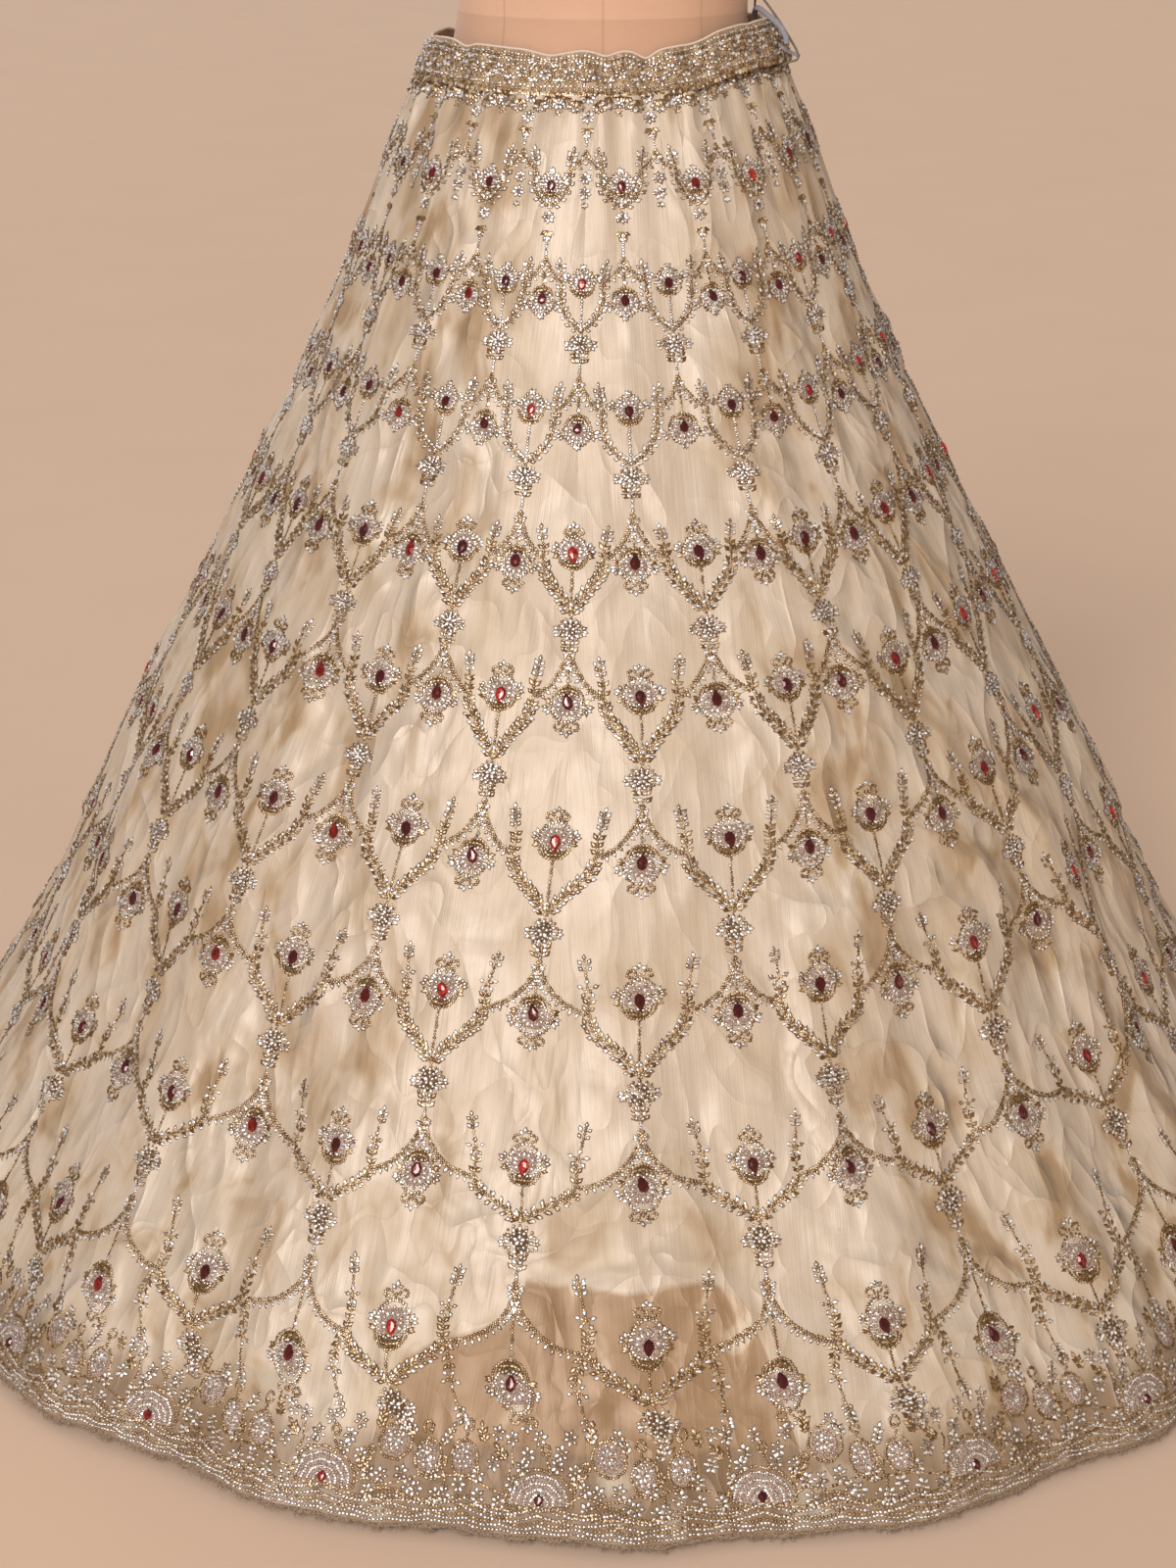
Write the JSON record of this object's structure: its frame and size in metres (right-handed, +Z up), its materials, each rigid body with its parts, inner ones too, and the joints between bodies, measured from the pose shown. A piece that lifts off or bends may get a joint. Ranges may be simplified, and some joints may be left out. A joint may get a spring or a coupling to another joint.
{
  "type": "lehenga skirt on a dress form",
  "caption": "Full-flared panelled lehenga skirt with a gathered drawstring waistband, resting on a limbless dress form that stands on a flat round base.",
  "frame": {"origin": "on the floor, at the middle of the underside of the dress form's base", "axes": "+Z up along the form's pole; the front of the skirt faces -Y and the viewer's right is +X"},
  "size_m": [1.3781, 1.3871, 1.5023],
  "materials": {
    "tissue_cloth": "champagne gold tissue silk with a fine vertical grain and a soft metallic sheen",
    "band_cloth": "gathered tissue silk under beadwork",
    "net_edging": "raw tan net, frayed at its edge",
    "drawstring_cord": "matte braided cord",
    "tie_cord": "thin twisted cord",
    "silver_beads": "small silver-lined glass beads",
    "gold_beads": "small gold-lined glass beads",
    "red_stones": "faceted teardrop stones",
    "sequins": "bright metallised sequins",
    "form_cover": "matte nude cloth cover",
    "form_wood": "satin varnished",
    "form_metal": "satin"
  },
  "bodies": {
    "root": {"skirt_panel_01": "tissue_cloth", "skirt_panel_02": "tissue_cloth", "skirt_panel_03": "tissue_cloth", "skirt_panel_04": "tissue_cloth", "skirt_panel_05": "tissue_cloth", "skirt_panel_06": "tissue_cloth", "skirt_panel_07": "tissue_cloth", "skirt_panel_08": "tissue_cloth", "skirt_panel_09": "tissue_cloth", "skirt_panel_10": "tissue_cloth", "skirt_panel_11": "tissue_cloth", "skirt_panel_12": "tissue_cloth", "skirt_panel_13": "tissue_cloth", "skirt_panel_14": "tissue_cloth", "hem_edging": "net_edging", "waistband": "band_cloth", "drawstring_end": "drawstring_cord", "drawstring_tail": "drawstring_cord", "tie_loop": "tie_cord", "form_torso": "form_cover", "form_neck_cap": "form_wood", "form_pole": "form_metal", "form_base": "form_metal"}
  },
  "joints": []
}
